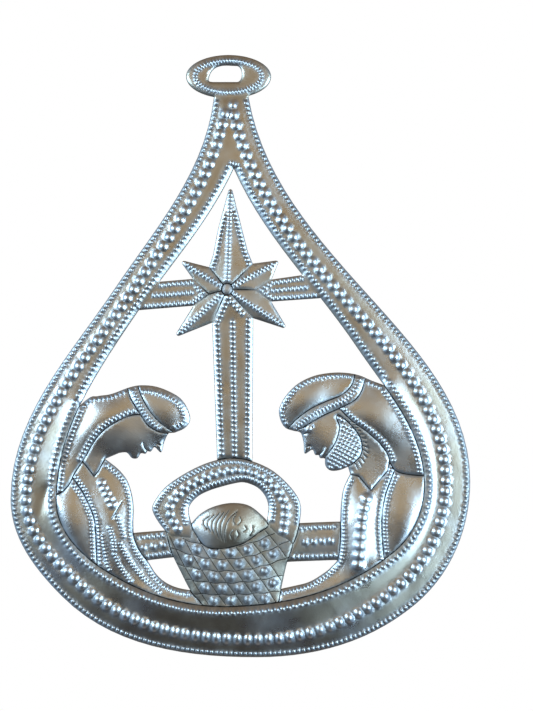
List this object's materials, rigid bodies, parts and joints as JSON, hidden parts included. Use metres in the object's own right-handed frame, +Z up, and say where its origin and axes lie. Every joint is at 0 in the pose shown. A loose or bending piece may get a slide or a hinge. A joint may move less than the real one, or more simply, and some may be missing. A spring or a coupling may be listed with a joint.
{
  "type": "hanging ornament",
  "caption": "Teardrop hanging ornament in pressed, pierced sheet steel: beaded border, star on a post, and kneeling figures bowed over an infant in a handled basket, with an oval hanging eye.",
  "frame": {"origin": "middle of the hanging eye, on the plane of the sheet's back", "axes": "+Z up as it hangs, -Y out of the pressed front, +X to the right seen from the front"},
  "size_m": [0.1514, 0.0037, 0.1984],
  "materials": {
    "steel": "hand-pressed sheet with polished high spots, brown tint in the hollows and dark chased lines"
  },
  "bodies": {
    "root": {"hanging_ring": "steel", "border": "steel", "star_top_ray": "steel", "star_upper_left_ray": "steel", "star_upper_right_ray": "steel", "star_lower_left_ray": "steel", "star_lower_right_ray": "steel", "star_boss": "steel", "left_arm": "steel", "right_arm": "steel", "post": "steel", "woman_cap": "steel", "woman_headband": "steel", "woman_veil": "steel", "woman_face": "steel", "woman_mantle": "steel", "woman_robe": "steel", "man_cap": "steel", "man_headband": "steel", "man_veil": "steel", "man_face": "steel", "man_beard": "steel", "man_mantle": "steel", "man_robe": "steel", "basket_handle": "steel", "basket": "steel", "infant": "steel", "left_rail": "steel", "right_rail": "steel"}
  },
  "joints": []
}
